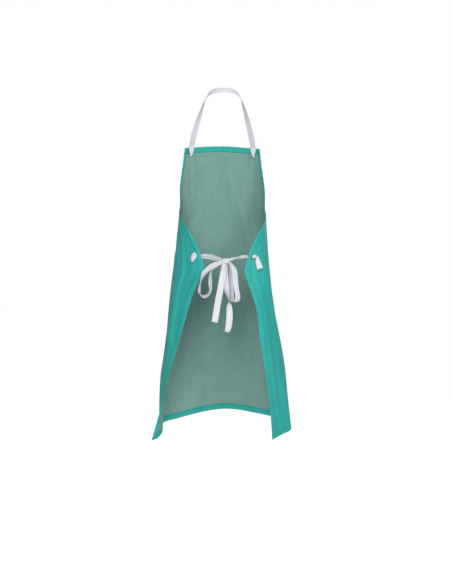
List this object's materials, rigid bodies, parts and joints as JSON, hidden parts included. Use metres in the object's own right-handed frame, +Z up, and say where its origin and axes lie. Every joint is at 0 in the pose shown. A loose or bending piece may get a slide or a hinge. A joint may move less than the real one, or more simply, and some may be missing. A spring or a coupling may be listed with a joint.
{
  "type": "bib apron",
  "caption": "Bib apron hanging as worn: one hemmed panel open at the back, a knotted neck tape and waist tapes tied in a bow behind.",
  "frame": {"origin": "the nape, midway along the neck tape on its underside's line, where the wearer holds the apron up", "axes": "+Z up the worn apron, -Y out of its front, +X towards the wearer's left"},
  "size_m": [0.4292, 0.2704, 1.075],
  "materials": {
    "cloth": "closely woven green cloth with a faint satin sheen, greyer on the inner side",
    "hem": "the same green cloth turned in and top-stitched",
    "tape": "matt white woven cotton tape"
  },
  "bodies": {
    "root": {"apron_panel": "cloth", "hem_bottom": "hem", "hem_bib_top": "hem", "hem_side_L": "hem", "hem_side_R": "hem", "hem_armhole_L": "hem", "hem_armhole_R": "hem", "neck_tape": "tape", "neck_knot_L": "tape", "neck_knot_R": "tape", "waist_tie_L": "tape", "waist_tie_R": "tape", "waist_knot_L": "tape", "waist_knot_R": "tape", "waist_tail_R": "tape", "bow_knot": "tape", "bow_loop_L": "tape", "bow_loop_R": "tape", "bow_tail_L": "tape", "bow_tail_R": "tape"}
  },
  "joints": []
}
